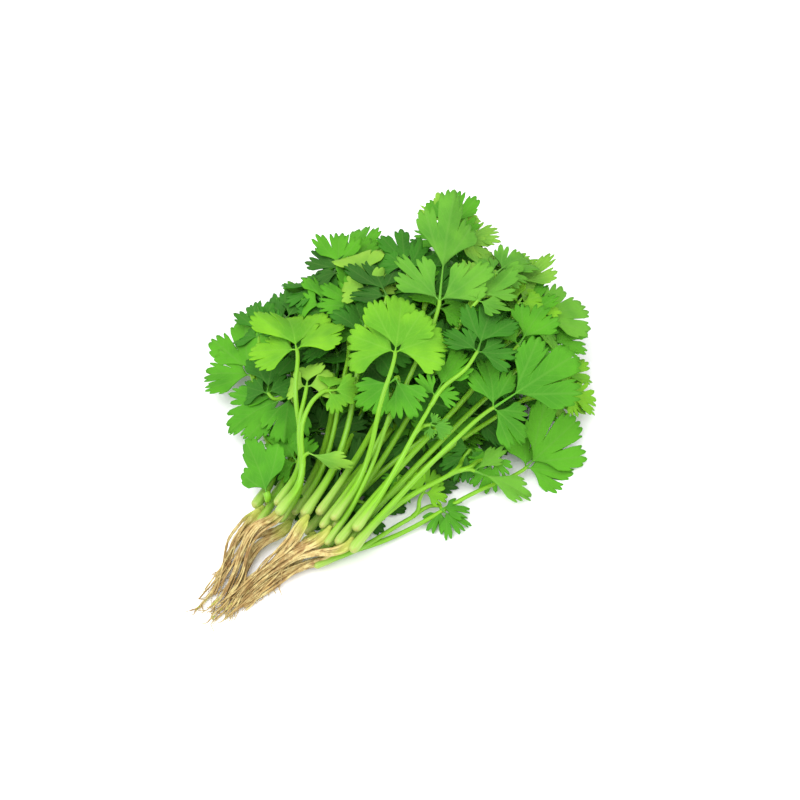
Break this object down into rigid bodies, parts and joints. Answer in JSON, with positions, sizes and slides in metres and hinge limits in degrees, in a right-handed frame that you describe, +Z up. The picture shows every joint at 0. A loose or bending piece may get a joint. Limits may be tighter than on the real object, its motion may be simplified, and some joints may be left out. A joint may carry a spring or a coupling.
{
  "type": "coriander bunch",
  "caption": "Loose bunch of fresh coriander plants lying on its side: tan roots at one end, slender pale stalks, and a rounded crown of lobed green leaves.",
  "frame": {"origin": "under the middle of the bunch's box, on the surface that it lies on", "axes": "+X from the roots to the leaf crown, +Y across the bunch to the left of someone looking along +X, +Z up"},
  "size_m": [0.263, 0.2002, 0.071],
  "materials": {
    "leaf": "satin",
    "petiole": "satin",
    "root": "matte"
  },
  "bodies": {
    "root": {"root_1": "root", "root_2": "root", "root_3": "root", "root_4": "root", "root_5": "root", "root_6": "root", "root_7": "root", "root_8": "root", "petiole_01": "petiole", "petiole_02": "petiole", "petiole_03": "petiole", "petiole_04": "petiole", "petiole_05": "petiole", "petiole_06": "petiole", "petiole_07": "petiole", "petiole_08": "petiole", "petiole_09": "petiole", "petiole_10": "petiole", "petiole_11": "petiole", "petiole_12": "petiole", "petiole_13": "petiole", "petiole_14": "petiole", "petiole_15": "petiole", "petiole_16": "petiole", "petiole_17": "petiole", "petiole_18": "petiole", "petiole_19": "petiole", "petiole_20": "petiole", "petiole_21": "petiole", "petiole_22": "petiole", "petiole_23": "petiole", "petiole_24": "petiole", "petiole_25": "petiole", "petiole_26": "petiole", "leaf_01": "leaf", "leaf_02": "leaf", "leaf_03": "leaf", "leaf_04": "leaf", "leaf_05": "leaf", "leaf_06": "leaf", "leaf_07": "leaf", "leaf_08": "leaf", "leaf_09": "leaf", "leaf_10": "leaf", "leaf_11": "leaf", "leaf_12": "leaf", "leaf_13": "leaf", "leaf_14": "leaf", "leaf_15": "leaf", "leaf_16": "leaf", "leaf_17": "leaf", "leaf_18": "leaf", "leaf_19": "leaf", "leaf_20": "leaf", "leaf_21": "leaf", "leaf_22": "leaf", "leaf_23": "leaf", "leaf_24": "leaf", "leaf_25": "leaf", "leaf_26": "leaf"}
  },
  "joints": []
}
